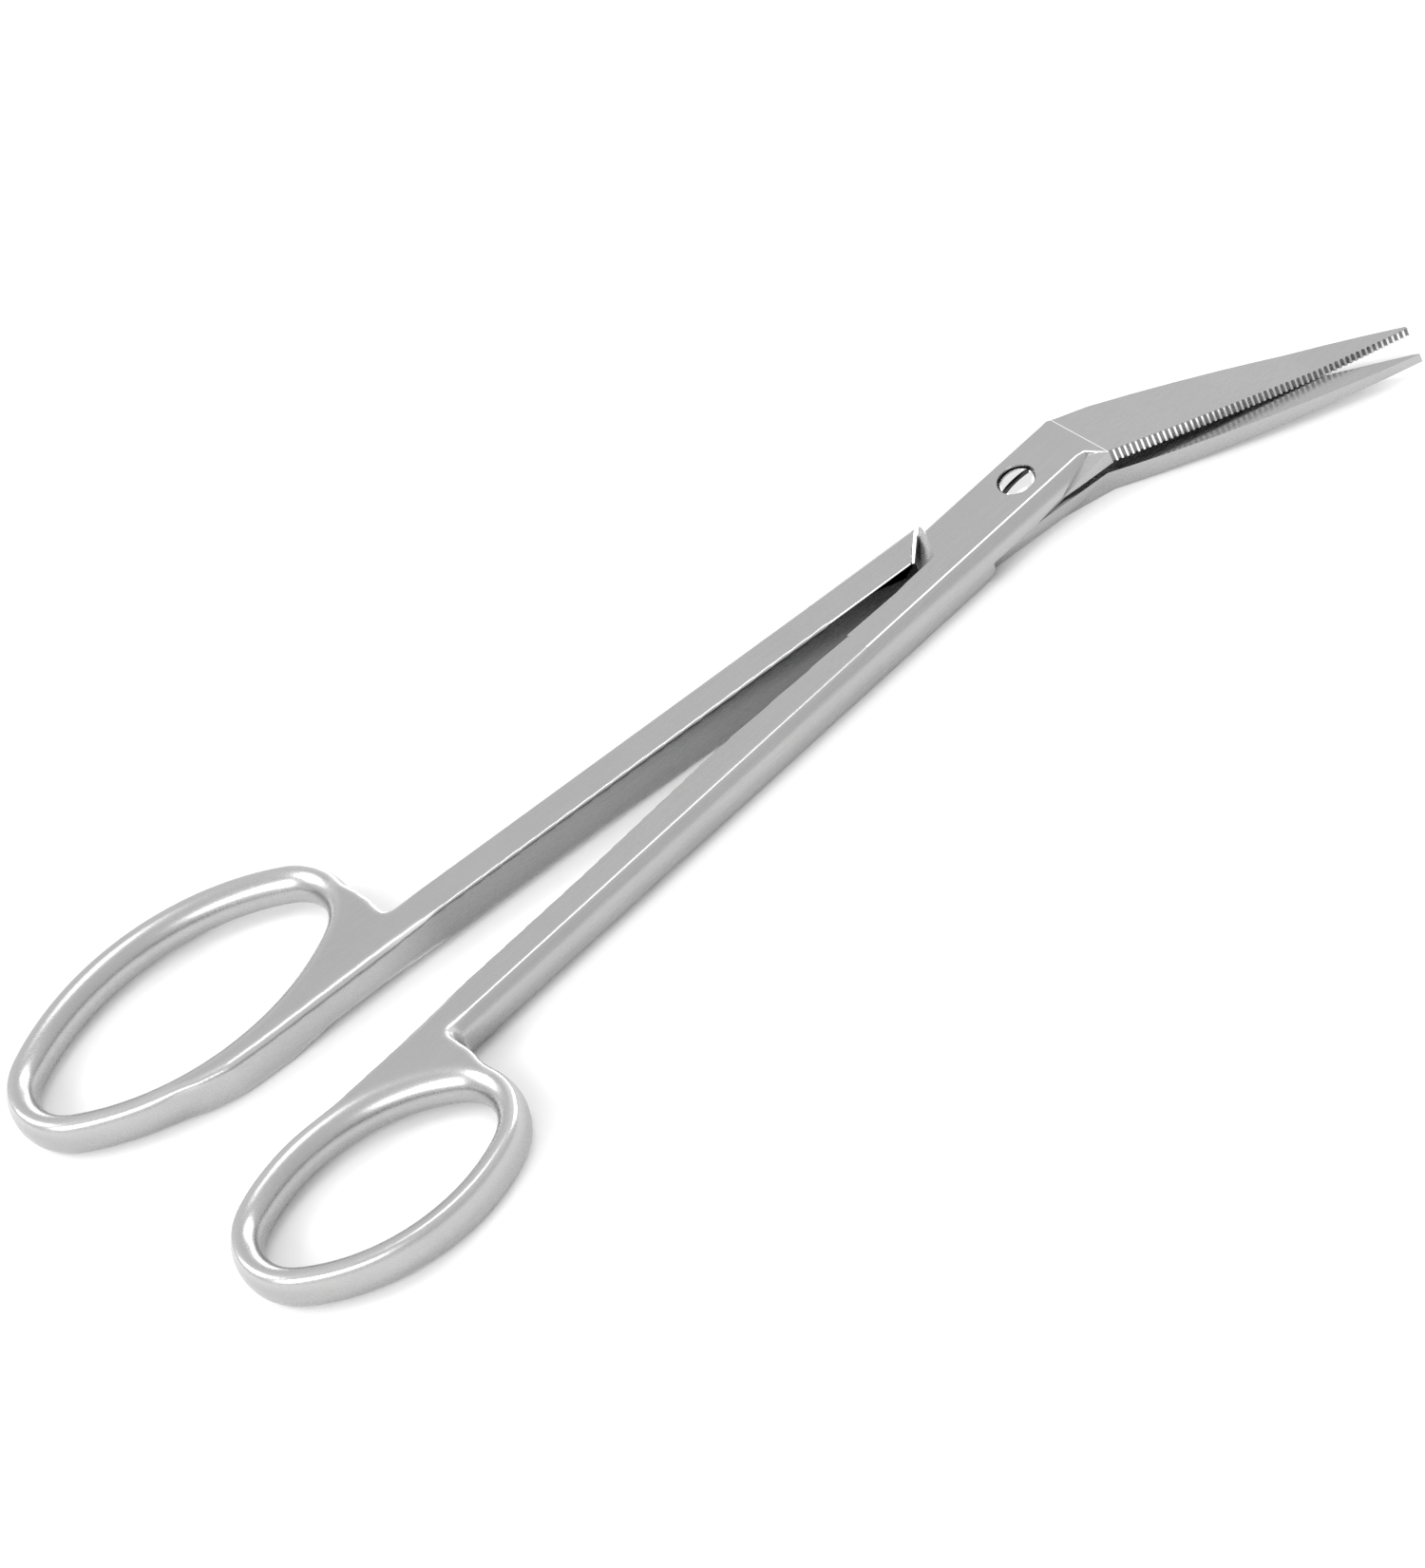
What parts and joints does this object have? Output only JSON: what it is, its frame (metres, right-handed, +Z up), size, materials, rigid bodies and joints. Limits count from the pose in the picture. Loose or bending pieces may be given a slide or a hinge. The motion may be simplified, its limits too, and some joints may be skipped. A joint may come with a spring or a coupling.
{
  "type": "aquascaping scissors",
  "caption": "Slim all-steel scissors with blades angled sideways, one finely serrated edge, a slotted pivot screw, long shanks and unequal finger rings.",
  "frame": {"origin": "on the pivot screw's axis, in the plane the closed joint and the finger rings rest on", "axes": "+Z up along the pivot axis towards the screw's slotted head, +X along the scissors towards the blades, +Y towards the big finger ring"},
  "size_m": [0.1912, 0.0739, 0.006],
  "materials": {
    "steel": "fine satin, polished edges and rings",
    "screw": "polished"
  },
  "bodies": {
    "lower": {"lower_half": "steel", "pivot_screw": "screw"},
    "upper": {"upper_half": "steel"}
  },
  "joints": [
    {"name": "pivot", "type": "hinge", "parent": "lower", "child": "upper", "pos_m": [0, 0, 0.003], "axis": [0, 0, 1], "range_deg": [-5, 35]}
  ]
}
